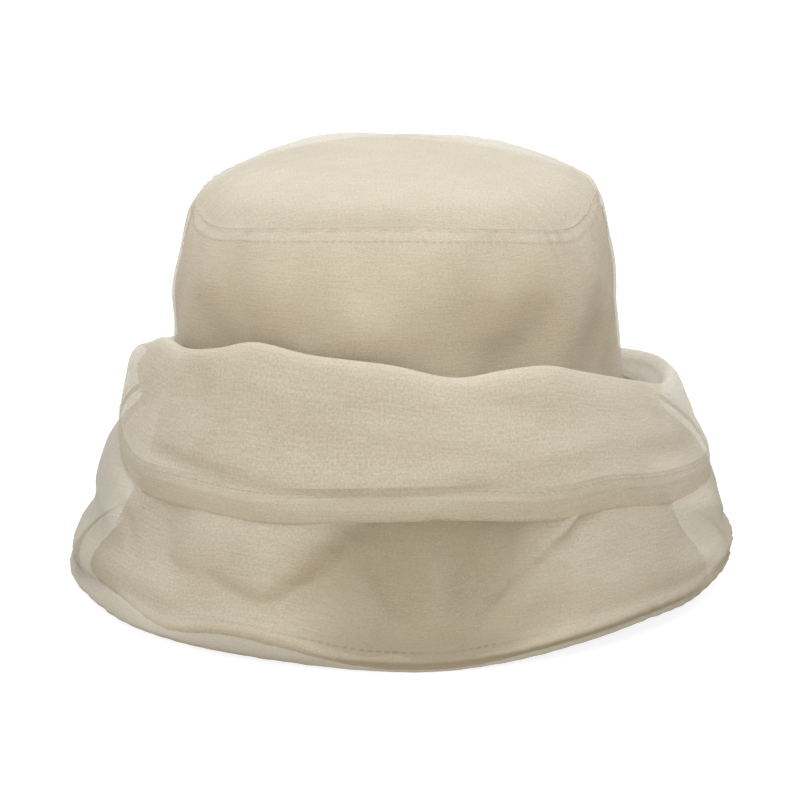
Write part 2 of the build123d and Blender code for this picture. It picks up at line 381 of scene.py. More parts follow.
def brim_hug(phi, z):
    """Distance from the middle of a wall lying against the brim, and standing upright above it."""
    at = np.clip(z, 0, 46)
    edge_z = ROLL_R + 0.2 + around(phi, EDGE_HEIGHT)
    v = np.clip((BASE_Z - at) / (BASE_Z - edge_z), 0, 1)
    on_brim = from_middle(brim(phi, v)) + mix(5.5, 3.6, v)
    stand = around(phi, UPRIGHT)
    upright = oval(phi, stand, stand * OVAL) - 0.07 * (at - 24)
    ease = 3.0
    return np.logaddexp(on_brim / ease, upright / ease) * ease


# How far the inner wall leans in under the crest, and how far it is from the outer layer.
LEAN_IN = [(-178, 3), (-100, 2), (-66, 0), (60, 0), (72, 8), (88, 12), (120, 12), (150, 8)]
LAYER_SPACE = [(-178, 4.0), (-100, 2.6), (-66, 3.0), (-45, 6.5), (45, 6.5), (66, 3.0), (100, 2.6)]
WALL_STEPS = (0.07, 0.14, 0.21, 0.28, 0.35, 0.42, 0.5, 0.58, 0.68, 0.8, 0.92)

# Stations of the veil over the crown and the brim: the place on it, and how far the gauze lies out and up from it.
CROWN_STATIONS = [(1.0, 0.6, 1.4), (0.97, 0.9, 0.8), (0.9, 1.0, 0.3), (0.8, 1.0, 0.0), (0.65, 1.0, 0.0),
                  (0.5, 1.0, 0.0), (0.3, 1.4, 0.0), (0.06, 3.2, 0.6)]
BRIM_STATIONS = [(0.3, 2.6, 1.4), (0.6, 1.6, 1.0), (0.86, 0.8, 0.7)]
FOLD_STATION = len(CROWN_STATIONS) + len(BRIM_STATIONS)


def inner_wall(phi, height, fold_r, fold_top):
    """Distance from the middle of the wall that goes up from the fold and on inside the cuff's outer layer."""
    top, low = around(phi, CUFF_TOP), around(phi, HEM_LOW)
    behind = np.clip((height - low + 6) / 22, 0, 1)
    wide = wall(phi, height) - around(phi, LAYER_SPACE) * behind * behind * (3 - 2 * behind)
    wide = wide - around(phi, LEAN_IN) * np.exp(-(((height - top + 11) / 6.5) ** 2))
    near_fold = np.exp(-((height - fold_top) / 9.0))
    wide = mix(wide, np.minimum(wide, fold_r + 0.6), near_fold)
    hug = np.minimum(brim_hug(phi, height), wide)
    released = np.clip((top - height) / 22, 0, 1)
    return mix(wide, hug, clinging(phi, height) * released)


def veil_line(phi):
    """Stations of the gauze tube from the tip seam to the hem: lists of distances from the middle and heights."""
    r, z = [], []

    def add(radius, height):
        r.append(radius + 0 * phi)
        z.append(height + 0 * phi)

    one = np.ones_like(phi)
    for surface, stations in ((band, CROWN_STATIONS), (brim, BRIM_STATIONS)):
        for place_on, out, up in stations:
            point = surface(phi, place_on * one)
            add(from_middle(point) + out, point[..., 2] + up)
    # round the brim's edge: under it, and up past its roll
    edge = brim(phi, one)
    edge_r = from_middle(edge) + ROLL_R
    fold_out, fold_z = around(phi, FOLD_OUT), around(phi, FOLD_Z)
    add(edge_r + np.maximum(fold_out - 2.6, 0.35), fold_z + 0.3)
    add(edge_r + fold_out + 0.4, fold_z + 2.4)
    over_roll = np.maximum(fold_z + 4.6, edge[..., 2] + 1.2)
    add(edge_r + np.maximum(0.6 * fold_out, 0.9), over_roll)
    loose_r = edge_r + fold_out + 0.2
    groove = np.clip(around(phi, GROOVE), 0, 1)
    fold_r = mix(loose_r, np.minimum(from_middle(brim(phi, 0.925 * one)) + 2.4, loose_r), groove)
    fold_top = over_roll + 3.4
    add(fold_r, fold_top)
    # up the inner wall, over the cuff's crest and down the outer layer to the hem
    top, low = around(phi, CUFF_TOP), around(phi, HEM_LOW)
    for f in WALL_STEPS:
        height = mix(fold_top, top, f)
        add(inner_wall(phi, height, fold_r, fold_top), height)
    crest = wall(phi, top)
    for inward, down in ((5.6, 2.2), (3.0, 0.0), (0.6, 2.0)):
        add(crest - inward, top - down)
    for f in (0.16, 0.4, 0.7):
        height = mix(top - 2.0, low + HEM_HEIGHT, f)
        add(wall(phi, height), height)
    hem_r = wall(phi, low + HEM_HEIGHT)
    for out, up in ((-0.2, 1.0), (0.5, 0.45), (0.2, 0.0)):
        add(hem_r + out, low + up * HEM_HEIGHT)
    return np.array(r), np.array(z)


def resample(rows, step_count, close_at):
    """Rows of a smooth curve through stations (stations x columns x coordinates), closer near one station."""
    step = np.diff(rows, axis=0)
    gaps = np.linalg.norm(step, axis=2).mean(axis=1)
    s = np.concatenate([[0], np.cumsum(gaps)])
    even = np.linspace(0, s[-1], 40 * step_count)
    crowding = 1 + 1.8 * np.exp(-((even - s[close_at]) / 7.0) ** 2)
    passed = np.concatenate([[0], np.cumsum((crowding[1:] + crowding[:-1]) / 2)])
    want = np.interp(np.linspace(0, passed[-1], step_count), passed, even)
    before, after = gaps[:-1][:, None, None], gaps[1:][:, None, None]
    slope = np.zeros_like(rows)
    slope[1:-1] = (step[:-1] / before * after + step[1:] / after * before) / (before + after)
    slope[0] = 1.5 * step[0] / gaps[0] - 0.5 * slope[1]
    slope[-1] = 1.5 * step[-1] / gaps[-1] - 0.5 * slope[-2]
    i = np.clip(np.searchsorted(s, want, side="right") - 1, 0, len(s) - 2)
    gap = s[i + 1] - s[i]
    share = (want - s[i]) / gap
    return between(i, share[:, None, None], gap[:, None, None], rows, slope), want


# ---------------------------------------------------------------- mesh helpers


def normals_of(grid, closed):
    """Unit normals of a grid of points, rows x columns x 3; closed joins the last column to the first."""
    down = np.gradient(grid, axis=0)
    if closed:
        across = (np.roll(grid, -1, axis=1) - np.roll(grid, 1, axis=1)) / 2
    else:
        across = np.gradient(grid, axis=1)
    n = np.cross(down, across)
    size = np.linalg.norm(n, axis=2, keepdims=True)
    return n / np.maximum(size, 1e-9)


def lengths_of(grid, closed):
    """Cloth coordinates in metres of a tube of cloth: round the hat and along the cloth."""
    across = np.linalg.norm(np.diff(grid, axis=1), axis=2).mean(axis=0)
    if closed:
        across = np.append(across, np.linalg.norm(grid[:, 0] - grid[:, -1], axis=1).mean())
    along = np.linalg.norm(np.diff(grid, axis=0), axis=2).mean(axis=1)
    u = np.concatenate([[0], np.cumsum(across)]) * MM
    v = np.concatenate([[0], np.cumsum(along)]) * MM
    return u, v


def new_mesh(name, stands_for, made_of, points, faces, uvs=None):
    """A piece in place of a CAD node, from points in millimetres.

    made_of is its body, material and slot, and its slot is not used; uvs holds one cloth coordinate for each corner of
    each face.
    """
    body, material, slot = made_of
    mesh = bpy.data.meshes.new(name)
    points = np.array(points, float)
    points[:, 2] = np.maximum(points[:, 2], 0.0)
    mesh.from_pydata((points * MM).tolist(), [], faces)
    if uvs is not None:
        layer = mesh.uv_layers.new(name="cloth")
        layer.data.foreach_set("uv", np.asarray(uvs, dtype=np.float32).ravel())
    mesh.validate()
    mesh.shade_smooth()
    mesh.materials.append(material)
    piece = bpy.data.objects.new(name, mesh)
    bpy.context.collection.objects.link(piece)
    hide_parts(stands_for)
    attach(piece, body)
    return piece


def quads(corners, columns, flip):
    """Faces, and the (row, column) of each corner, from four corners that are each rows, columns and an offset."""
    if flip:
        corners = corners[::-1]
    faces = np.stack([i * columns + j % columns + offset for i, j, offset in corners], axis=1)
    places = np.stack([np.stack([i, j], axis=1) for i, j, _ in corners], axis=1)
    return faces, places


def grid_faces(rows, columns, closed, offset=0, flip=False):
    last = columns if closed else columns - 1
    i, j = np.meshgrid(np.arange(rows - 1), np.arange(last), indexing="ij")
    i, j = i.ravel(), j.ravel()
    return quads([(i, j, offset), (i + 1, j, offset), (i + 1, j + 1, offset), (i, j + 1, offset)], columns, flip)


def cut_edges(rows, columns, closed):
    """Faces along the cut edges of a shell, between its outer and its inner points."""
    inner = rows * columns
    j = np.arange(columns if closed else columns - 1)
    edges = [((row + 0 * j, j), (row + 0 * j, j + 1), row > 0) for row in (0, rows - 1)]
    if not closed:
        i = np.arange(rows - 1)
        edges += [((i, column + 0 * i), (i + 1, column + 0 * i), column == 0) for column in (0, columns - 1)]
    return [quads([(*a, 0), (*b, 0), (*b, inner), (*a, inner)], columns, flip) for a, b, flip in edges]


def cloth_map(grid, closed, places, flat):
    """Cloth coordinates of each face's corners; a flat piece is cut with its threads straight across the hat."""
    if flat:
        wrapped = places[..., 1] % grid.shape[1]
        return grid[places[..., 0], wrapped, :2] * MM
    u, v = lengths_of(grid, closed)
    return np.stack([u[places[..., 1]], v[places[..., 0]]], axis=-1)


def sheet_piece(name, stands_for, made_of, grid, flat=False):
    """One surface of cloth from a grid of points that closes round the hat."""
    faces, places = grid_faces(*grid.shape[:2], True)
    uvs = cloth_map(grid, True, places, flat)
    return new_mesh(name, stands_for, made_of, grid.reshape(-1, 3), faces.tolist(), uvs)


def paint(piece, name, values):
    """A value from 0 to 1 at each point of a piece, for its material."""
    layer = piece.data.attributes.new(name, "FLOAT", "POINT")
    layer.data.foreach_set("value", np.clip(values, 0, 1).astype(np.float32).ravel())


def shell_piece(name, stands_for, made_of, grid, thickness, depth=0.0, closed=True, flat=False):
    """Cloth with both faces and its cut edges: grid is its outer face, depth is how far under grid it starts."""
    rows, columns = grid.shape[:2]
    n = normals_of(grid, closed)
    points = np.stack([grid - n * depth, grid - n * (depth + thickness)]).reshape(-1, 3)
    parts = [grid_faces(rows, columns, closed), grid_faces(rows, columns, closed, rows * columns, True)]
    parts += cut_edges(rows, columns, closed)
    faces, places = (np.concatenate(arrays) for arrays in zip(*parts))
    uvs = cloth_map(grid, closed, places, flat)
    return new_mesh(name, stands_for, made_of, points, faces.tolist(), uvs)


TUBE_SIDES = 12


def tube_piece(name, stands_for, made_of, line, normal, wide, high, closed=True):
    """A roll of oval section along a line; normal is which way its height goes."""
    sides = TUBE_SIDES
    tangent = np.roll(line, -1, axis=0) - np.roll(line, 1, axis=0) if closed else np.gradient(line, axis=0)
    tangent = unit(tangent)
    across = unit(np.cross(tangent, normal))
    up = np.cross(across, tangent)
    turn = np.linspace(0, 2 * np.pi, sides, endpoint=False)
    grid = line[:, None] + across[:, None] * (np.cos(turn) * wide)[None, :, None]
    grid = grid + up[:, None] * (np.sin(turn) * high)[None, :, None]
    rows = len(line)
    points = grid.reshape(-1, 3)
    if closed:
        grid = np.concatenate([grid, grid[:1]])
    faces, places = grid_faces(len(grid), sides, True, flip=True)
    faces = faces % (rows * sides)
    u, v = lengths_of(grid, True)
    uvs = np.stack([v[places[..., 0]], u[places[..., 1]]], axis=-1).reshape(-1, 2)
    faces = faces.tolist()
    if not closed:
        faces += [list(range(sides)), list(range((rows - 1) * sides, rows * sides))[::-1]]
        uvs = np.concatenate([uvs, np.zeros((2 * sides, 2))])
    return new_mesh(name, stands_for, made_of, points, faces, uvs)


def stitch_row(line, normal, pitch, length, radius, closed=True):
    """Points and faces of single stitches laid along a line on the cloth."""
    if closed:
        line = np.concatenate([line, line[:1]])
        normal = np.concatenate([normal, normal[:1]])
    s = np.concatenate([[0], np.cumsum(np.linalg.norm(np.diff(line, axis=0), axis=1))])
    count = int(s[-1] / pitch)
    pitch = s[-1] / count

    def at(d):
        return np.stack([np.interp(d, s, line[:, k]) for k in range(3)], axis=-1)

    def up_at(d):
        return unit(np.stack([np.interp(d, s, normal[:, k]) for k in range(3)], axis=-1))

    rings = [(-0.5, 0.25, -0.5), (-0.4, 0.8, -0.1), (-0.15, 1.0, 0.25), (0.15, 1.0, 0.25), (0.4, 0.8, -0.1),
             (0.5, 0.25, -0.5)]
    sides = 6
    points, faces = [], []
    for k in range(count):
        middle = (k + 0.5) * pitch
        a, b = at(middle - length / 2), at(middle + length / 2)
        along = unit(b - a)
        up = up_at(middle)
        across = np.cross(along, up)
        start = len(points)
        for place_along, size, lift in rings:
            centre = at(middle + place_along * length) + up * (lift + 0.3) * radius
            for q in range(sides):
                w = 2 * math.pi * q / sides
                points.append(centre + (across * math.cos(w) + up * math.sin(w)) * radius * size)
        for g in range(len(rings) - 1):
            for q in range(sides):
                p = start + g * sides
                faces.append([p + q, p + sides + q, p + sides + (q + 1) % sides, p + (q + 1) % sides])
        faces.append([start + q for q in range(sides)])
        end = start + (len(rings) - 1) * sides
        faces.append([end + q for q in range(sides)][::-1])
    return points, faces


def stitches(name, stands_for, made_of, rows):
    """One piece of several rows of stitches, each row (points, faces)."""
    points, faces = [], []
    for row_points, row_faces in rows:
        faces += [[i + len(points) for i in f] for f in row_faces]
        points += row_points
    return new_mesh(name, stands_for, made_of, points, faces)


# ---------------------------------------------------------------- materials


class Graph:
    """One new material and the nodes in it. Each method adds a node and gives its output."""

    def __init__(self, name, **settings):
        self.material = bpy.data.materials.new(name)
        self.material.use_nodes = True
        self.nodes = self.material.node_tree.nodes
        self.shader = self.nodes["Principled BSDF"]
        self.settle(**settings)

    def settle(self, **settings):
        """Uniform settings, put on the shader's own sockets: sheen_weight is "Sheen Weight"."""
        names = {"specular": "Specular IOR Level"}
        for key, value in settings.items():
            name = names.get(key, key.replace("_", " ").title())
            self.shader.inputs[name].default_value = value

    def link(self, output, socket):
        self.material.node_tree.links.new(output, socket)

    def paint(self, socket_name, output):
        self.link(output, self.shader.inputs[socket_name])

    def position(self):
        return self.nodes.new("ShaderNodeTexCoord").outputs["Object"]

    def cloth(self, scale=(1, 1, 1), rotation=0.0):
        """Coordinates in metres along the cloth."""
        uv = self.nodes.new("ShaderNodeUVMap")
        uv.uv_map = "cloth"
        mapping = self.nodes.new("ShaderNodeMapping")
        mapping.inputs["Scale"].default_value = scale
        mapping.inputs["Rotation"].default_value = (0, 0, math.radians(rotation))
        self.link(uv.outputs["UV"], mapping.inputs["Vector"])
        return mapping.outputs["Vector"]

    def attribute(self, name):
        node = self.nodes.new("ShaderNodeAttribute")
        node.attribute_name = name
        return node.outputs["Fac"]

    def noise(self, vector, scale, detail=3.0, roughness=0.5):
        node = self.nodes.new("ShaderNodeTexNoise")
        node.inputs["Scale"].default_value = scale
        node.inputs["Detail"].default_value = detail
        node.inputs["Roughness"].default_value = roughness
        self.link(vector, node.inputs["Vector"])
        return node.outputs["Fac"]

    def threads(self, per_metre, distortion, rotation=0.0):
        """Parallel threads across the cloth's first direction, turned by a number of degrees."""
        node = self.nodes.new("ShaderNodeTexWave")
        node.wave_type = "BANDS"
        node.bands_direction = "X"
        node.inputs["Scale"].default_value = per_metre * WAVE_UNIT
        node.inputs["Distortion"].default_value = distortion
        node.inputs["Detail"].default_value = 1.0
        node.inputs["Detail Scale"].default_value = 2.0
        self.link(self.cloth(rotation=rotation), node.inputs["Vector"])
        return node.outputs["Fac"]

    def math(self, operation, a, b):
        node = self.nodes.new("ShaderNodeMath")
        node.operation = operation
        for socket, value in zip(node.inputs, (a, b)):
            if isinstance(value, (int, float)):
                socket.default_value = value
            else:
                self.link(value, socket)
        return node.outputs[0]

    def total(self, first, *others):
        for other in others:
            first = self.math("ADD", first, other)
        return first

    def times(self, output, factor):
        return self.math("MULTIPLY", output, factor)

    def spread(self, value, low, high, from_low=0.0, from_high=1.0):
        node = self.nodes.new("ShaderNodeMapRange")
        node.inputs["From Min"].default_value = from_low
        node.inputs["From Max"].default_value = from_high
        node.inputs["To Min"].default_value = low
        node.inputs["To Max"].default_value = high
        self.link(value, node.inputs["Value"])
        return node.outputs["Result"]

    def blend(self, factor, first, second):
        """Between two colours, each a plain colour or an output."""
        node = self.nodes.new("ShaderNodeMix")
        node.data_type = "RGBA"
        self.link(factor, node.inputs["Factor"])
        for socket, value in ((node.inputs["A"], first), (node.inputs["B"], second)):
            if isinstance(value, tuple):
                socket.default_value = (*value, 1.0)
            else:
                self.link(value, socket)
        return node.outputs["Result"]

    def bump(self, height, strength, distance):
        node = self.nodes.new("ShaderNodeBump")
        node.inputs["Strength"].default_value = strength
        node.inputs["Distance"].default_value = distance
        self.link(height, node.inputs["Height"])
        self.paint("Normal", node.outputs["Normal"])


WAVE_UNIT = math.pi / 10    # the wave texture's scale for one thread to a metre
SLUB_RANGE = (0.6, 1.4)     # where the sum of two noises mostly lies
YARN_RANGE = (0.7, 1.3)


def twill_material(name, light, dark, threads_per_metre=1050.0):
    """Fine cotton twill: diagonal ribs, uneven yarn, faint washed mottling."""
    g = Graph(name, specular=0.2, sheen_weight=0.25, sheen_roughness=0.5, sheen_tint=(1.0, 0.97, 0.9, 1.0))
    rib = g.threads(threads_per_metre, 0.8, 58)
    cross = g.threads(threads_per_metre * 1.4, 1.2)
    slub = g.total(g.noise(g.cloth((1.0, 9.0, 1.0)), 260.0, 2.0), g.noise(g.cloth((9.0, 1.0, 1.0)), 260.0, 2.0))
    wash = g.noise(g.position(), 22.0, 4.0, 0.6)
    blotch = g.noise(g.position(), 75.0, 3.0, 0.55)
    tone = g.total(g.spread(rib, 0.35, 0.65), g.spread(slub, -0.35, 0.35, *SLUB_RANGE),
                   g.spread(wash, -0.4, 0.4, 0.25, 0.75), g.spread(blotch, -0.16, 0.16, 0.3, 0.7))
    g.paint("Base Color", g.blend(tone, dark, light))
    g.bump(g.total(rib, g.times(cross, 0.35), g.times(slub, 0.8)), 0.35, 0.00018)
    g.paint("Roughness", g.spread(slub, 0.78, 0.95, *SLUB_RANGE))
    return g.material


def plain_cloth_material(name, light, dark, threads_per_metre=1200.0):
    """Plain weave: threads across each other, slightly uneven."""
    g = Graph(name, specular=0.2, sheen_weight=0.15)
    both = g.times(g.threads(threads_per_metre, 0.4), g.threads(threads_per_metre, 0.4, 90))
    wash = g.noise(g.position(), 30.0)
    tone = g.total(g.spread(both, 0.2, 0.7), g.spread(wash, -0.2, 0.3))
    g.paint("Base Color", g.blend(tone, dark, light))
    g.bump(both, 0.4, 0.0002)
    g.paint("Roughness", g.spread(wash, 0.8, 0.95))
    return g.material


GAUZE_THREADS_PER_METRE = 1900.0


def gauze_material(name, light, dark, cover, swing):
    """Sheer gauze: uneven yarns with fine fuzz, see-through by how much of the light the threads cover.

    Two values painted on the mesh change it: "opened" takes cover away, and the other is painted shade, which darkens
    the colour where the gauze lies in shade.
    """
    g = Graph(name, specular=0.15, sheen_weight=0.25, sheen_roughness=0.4)
    warp_yarn = g.noise(g.cloth((18.0, 2.2, 1.0)), 90.0, 2.0, 0.6)
    weft_yarn = g.noise(g.cloth((1.1, 19.0, 1.0)), 90.0, 2.0, 0.6)
    yarn = g.total(g.times(warp_yarn, 0.5), g.times(weft_yarn, 1.5))
    weave = g.math("MAXIMUM", g.threads(GAUZE_THREADS_PER_METRE, 0.5), g.threads(GAUZE_THREADS_PER_METRE, 0.5, 90))
    drift = g.noise(g.position(), 24.0, 4.0, 0.6)
    fuzz = g.noise(g.cloth((0.8, 1.2, 1.0)), 1300.0, 2.0, 0.7)
    tone = g.total(g.spread(yarn, 0.30, 0.70, *YARN_RANGE), g.spread(drift, -0.3, 0.3, 0.25, 0.75),
                   g.spread(fuzz, -0.65, 0.65, 0.3, 0.7))
    # painted shade: a darker gauze colour standing in for shade, blended in by the painted value
    painted_shade_colour = (0.60 * dark[0], 0.57 * dark[1], 0.50 * dark[2])
    g.paint("Base Color", g.blend(g.attribute("painted_shade"), g.blend(tone, dark, light), painted_shade_colour))
    alpha = g.total(g.spread(yarn, cover - swing, cover + swing, *YARN_RANGE), g.spread(weave, -0.04, 0.02))
    alpha = g.math("SUBTRACT", alpha, g.attribute("opened"))
    g.paint("Alpha", g.total(alpha, g.spread(fuzz, -0.05, 0.05, 0.3, 0.7)))
    crinkle = g.noise(g.cloth((14.0, 95.0, 1.0)), 1.0, 4.0, 0.55)
    g.bump(g.total(g.times(crinkle, 4.0), g.times(g.total(weave, yarn), 0.2)), 0.35, 0.00035)
    g.paint("Roughness", g.spread(yarn, 0.7, 0.9, *YARN_RANGE))
    return g.material


def thread_material(name, light, dark):
    """Sewing thread, with the twist's light and dark."""
    g = Graph(name, specular=0.3)
    twist = g.noise(g.position(), 900.0, 2.0)
    g.paint("Base Color", g.blend(twist, dark, light))
    g.paint("Roughness", g.spread(twist, 0.6, 0.85))
    return g.material


# What each kind of piece is: its body, its material and its slot.
HAT_TWILL = ("hat", twill_material("hat_twill", (0.69, 0.58, 0.425), (0.53, 0.435, 0.31)), "twill")
HAT_FACING = ("hat", twill_material("brim_facing_twill", (0.62, 0.55, 0.42), (0.45, 0.39, 0.28)), "twill")
HAT_STIFFENER = ("hat", plain_cloth_material("interlining_cloth", (0.72, 0.70, 0.64), (0.58, 0.56, 0.50), 900.0),
                 "interlining")
HAT_LINING = ("hat", plain_cloth_material("lining_cotton", (0.72, 0.66, 0.55), (0.56, 0.51, 0.41)), "lining")
HAT_TAPE = ("hat", twill_material("sweatband_tape", (0.66, 0.58, 0.45), (0.48, 0.41, 0.30), 900.0), "sweatband")
HAT_THREAD = ("hat", thread_material("sewing_thread", (0.25, 0.21, 0.15), (0.15, 0.125, 0.09)), "thread")
VEIL_THREAD = ("veil", thread_material("pale_thread", (0.62, 0.56, 0.45), (0.50, 0.45, 0.36)), "thread")
VEIL_GAUZE = ("veil", gauze_material("veil_gauze", (0.825, 0.75, 0.603), (0.715, 0.643, 0.504), 0.80, 0.035),
              "gauze")
VEIL_FOLDED = ("veil", gauze_material("veil_gauze_folded", (0.82, 0.745, 0.598), (0.71, 0.638, 0.50), 0.45, 0.035),
               "gauze_seam")
VEIL_ELASTIC = ("veil", plain_cloth_material("hem_elastic", (0.66, 0.59, 0.46), (0.60, 0.54, 0.42), 700.0),
                "elastic")

# ---------------------------------------------------------------- camera, light and floor

VIEW_DISTANCE = 1.8
VIEW_ELEVATION = math.radians(14.9)
MM_PER_PIXEL = 0.389
SENSOR = 36.0
TARGET = Vector((0.0018, 0.0, 0.068))


def make_camera():
    data = bpy.data.cameras.new("camera")
    data.sensor_width = SENSOR
    data.lens = SENSOR * VIEW_DISTANCE / (800 * MM_PER_PIXEL * MM)
    camera = bpy.data.objects.new("camera", data)
    bpy.context.collection.objects.link(camera)
    back = Vector((0, -math.cos(VIEW_ELEVATION), math.sin(VIEW_ELEVATION)))
    camera.location = TARGET + back * VIEW_DISTANCE
    camera.rotation_euler = (-back).to_track_quat("-Z", "Y").to_euler()
    bpy.context.scene.camera = camera


def area_light(name, location, size, power, colour, target=(0, 0, 0.08)):
    data = bpy.data.lights.new(name, "AREA")
    data.color = colour
    data.shape = "SQUARE"
    data.size = size
    data.energy = power
    light = bpy.data.objects.new(name, data)
    bpy.context.collection.objects.link(light)
    light.location = location
    light.rotation_euler = (Vector(location) - Vector(target)).to_track_quat("Z", "Y").to_euler()


def stage_mesh(name, points, faces, material, hidden_from):
    """A part of the studio, which isn't part of the object, and the kinds of ray that don't meet it."""
    mesh = bpy.data.meshes.new(name)
    mesh.from_pydata(points, [], faces)
    mesh.materials.append(material)
    staged = bpy.data.objects.new(name, mesh)
    bpy.context.collection.objects.link(staged)
    for kind in hidden_from:
        setattr(staged, f"visible_{kind}", False)


FLOOR_HALF = 6.0
SURROUND_RADIUS, SURROUND_HEIGHT, SURROUND_SIDES = 8.6, 8.0, 96
WHITE = (1, 1, 1, 1)


def make_floor(name, height, material, hidden_from):
    half = FLOOR_HALF
    corners = [(-half, -half, height), (half, -half, height), (half, half, height), (-half, half, height)]
    stage_mesh(name, corners, [(0, 1, 2, 3)], material, hidden_from)


def make_surround():
    """A plain white drum and lid far round the table, so that low views end in white. It lights nothing."""
    sides = SURROUND_SIDES
    turn = np.linspace(0, 2 * np.pi, sides, endpoint=False)
    ring = np.stack([np.cos(turn), np.sin(turn)], axis=1) * SURROUND_RADIUS
    points = [(x, y, z) for z in (-0.5, SURROUND_HEIGHT) for x, y in ring]
    walls = [(i, (i + 1) % sides, sides + (i + 1) % sides, sides + i) for i in range(sides)]
    g = Graph("surround_white", base_color=(0, 0, 0, 1), emission_color=WHITE, emission_strength=1.05)
    stage_mesh("surround", points, walls + [tuple(range(sides, 2 * sides))], g.material,
               ("diffuse", "glossy", "transmission", "shadow"))


def make_stage():
    """A plain white floor in soft light. The paper that shows gives no light; the grey under it bounces some."""
    world = bpy.data.worlds.new("studio")
    bpy.context.scene.world = world
    world.use_nodes = True
    background = world.node_tree.nodes["Background"]
    background.inputs["Color"].default_value = WHITE
    background.inputs["Strength"].default_value = 0.80
    area_light("top_light", (0.0, 0.05, 1.5), 1.1, 10.0, (0.88, 0.96, 1.06))
    area_light("front_light", (-0.2, -1.9, 0.8), 1.4, 11.0, (1.0, 0.99, 0.97))
    paper = Graph("floor_paper", roughness=0.9, emission_color=WHITE, emission_strength=0.86)
    grain = paper.noise(paper.position(), 40.0)
    paper.paint("Base Color", paper.blend(grain, (0.30, 0.30, 0.30), (0.34, 0.34, 0.34)))
    make_floor("floor", 0.0, paper.material, ("diffuse", "glossy", "shadow"))
    grey = Graph("floor_under_grey", base_color=(0.36, 0.31, 0.24, 1), roughness=0.9)
    make_floor("floor_under", -0.0005, grey.material, ("camera",))
    make_surround()


def set_view():
    scene = bpy.context.scene
    scene.view_settings.view_transform = "Standard"
    scene.view_settings.look = "None"
    scene.cycles.transparent_max_bounces = 32
    scene.cycles.max_bounces = 8


make_camera()
make_stage()
set_view()

# ---------------------------------------------------------------- the hat's pieces

ROUND = 480
HALF = ROUND // 2 + 1
FULL_TURN = np.linspace(-np.pi, np.pi, ROUND, endpoint=False)
FRONT_TURN = np.linspace(-np.pi / 2, np.pi / 2, HALF)
BACK_TURN = np.linspace(np.pi / 2, np.pi * 3 / 2, HALF)


def grid_of(surface, phi, steps):
    p, s = np.meshgrid(phi, steps)
    return surface(p, s)


def make_hat():
    tip_steps = np.concatenate([np.linspace(0.001, 0.8, 27), np.linspace(0.82, 1.0, 18)])
    shell_piece("crown_tip_cloth", "crown_tip", HAT_TWILL, grid_of(tip, FULL_TURN, tip_steps), TWILL, flat=True)
    shell_piece("crown_tip_lining", "lining_tip", HAT_LINING, grid_of(tip, FULL_TURN, tip_steps[:-3] * 0.985), LINING,
                depth=TWILL + LAYER_GAP, flat=True)
    band_steps = np.linspace(1.0, 0.0, 84)
    brim_steps = np.linspace(0.0, 1.0, 64)
    for half, turn in (("front", FRONT_TURN), ("back", BACK_TURN)):
        band_grid, brim_grid = grid_of(band, turn, band_steps), grid_of(brim, turn, brim_steps)
        shell_piece(f"crown_band_{half}_cloth", f"crown_band_{half}", HAT_TWILL, band_grid, TWILL, closed=False)
        shell_piece(f"brim_top_{half}_cloth", f"brim_top_{half}", HAT_TWILL, brim_grid, TWILL, closed=False)
        shell_piece(f"brim_facing_{half}_cloth", f"brim_facing_{half}", HAT_FACING, brim_grid[1:], TWILL,
                    depth=TWILL + STIFFENER + 2 * LAYER_GAP, closed=False)
    shell_piece("brim_interlining_cloth", "brim_interlining", HAT_STIFFENER,
                grid_of(brim, FULL_TURN, brim_steps[2:-1:2]), STIFFENER, depth=TWILL + LAYER_GAP)
    shell_piece("crown_band_lining", "lining_band", HAT_LINING, grid_of(band, FULL_TURN, band_steps[4:-1:2]), LINING,
                depth=TWILL + LAYER_GAP)
    shell_piece("sweatband_tape", "sweatband", HAT_TAPE, grid_of(band, FULL_TURN, np.linspace(0.29, 0.008, 16)), TAPE,
                depth=TWILL + LINING + 2 * LAYER_GAP)
    edge = brim(FULL_TURN, np.ones(ROUND))
    roll_line = edge - unit(edge * LEVEL) * 1.1 + UP * 0.1
    tube_piece("brim_edge_turned_roll", "brim_edge_roll", HAT_TWILL, roll_line, UP, ROLL_R * 1.05, ROLL_R)


def surface_line(surface, phi, s, step=0.004):
    """A line round a surface at s, and the surface's outward normals along it."""
    rows = np.array([s - step, s, s + step])
    grid = grid_of(surface, phi, rows)
    n = normals_of(grid, False)[1]
    outward = np.sum(n * grid[1], axis=1, keepdims=True) > 0
    return grid[1], np.where(outward, n, -n)


STITCH = (3.1, 2.35, 0.36)      # pitch, length and thread radius


def seam_line(degrees):
    """A line up the crown's side, and its outward normals, for the stitches beside a side seam."""
    steps = np.linspace(0.08, 0.93, 60)
    phi = np.full(60, math.radians(degrees))
    line = band(phi, steps)
    n = unit(np.cross(np.gradient(line, axis=0), band(phi + 0.01, steps) - line))
    return line, n * np.sign(np.sum(n * line, axis=1, keepdims=True))


def make_hat_stitches():
    for name, stands_for, surface, at in (("tip_seam_stitches", "tip_topstitch", band, 0.965),
                                          ("crown_base_stitches", "crown_base_topstitch", band, 0.045),
                                          ("brim_edge_stitches", "brim_edge_topstitch", brim, 0.93)):
        row = stitch_row(*surface_line(surface, FULL_TURN, at), *STITCH)
        stitches(name, stands_for, HAT_THREAD, [row])
    beside = [seam + offset for seam in (-90, 90) for offset in (-2.0, 2.0)]
    rows = [stitch_row(*seam_line(degrees), *STITCH, closed=False) for degrees in beside]
    stitches("side_seam_stitches", "side_seam_topstitch", HAT_THREAD, rows)


make_hat()
make_hat_stitches()

# ---------------------------------------------------------------- the veil's pieces

VEIL_ROUND = 430
VEIL_ROWS = 228
VEIL_TURN = np.linspace(-np.pi, np.pi, VEIL_ROUND, endpoint=False)

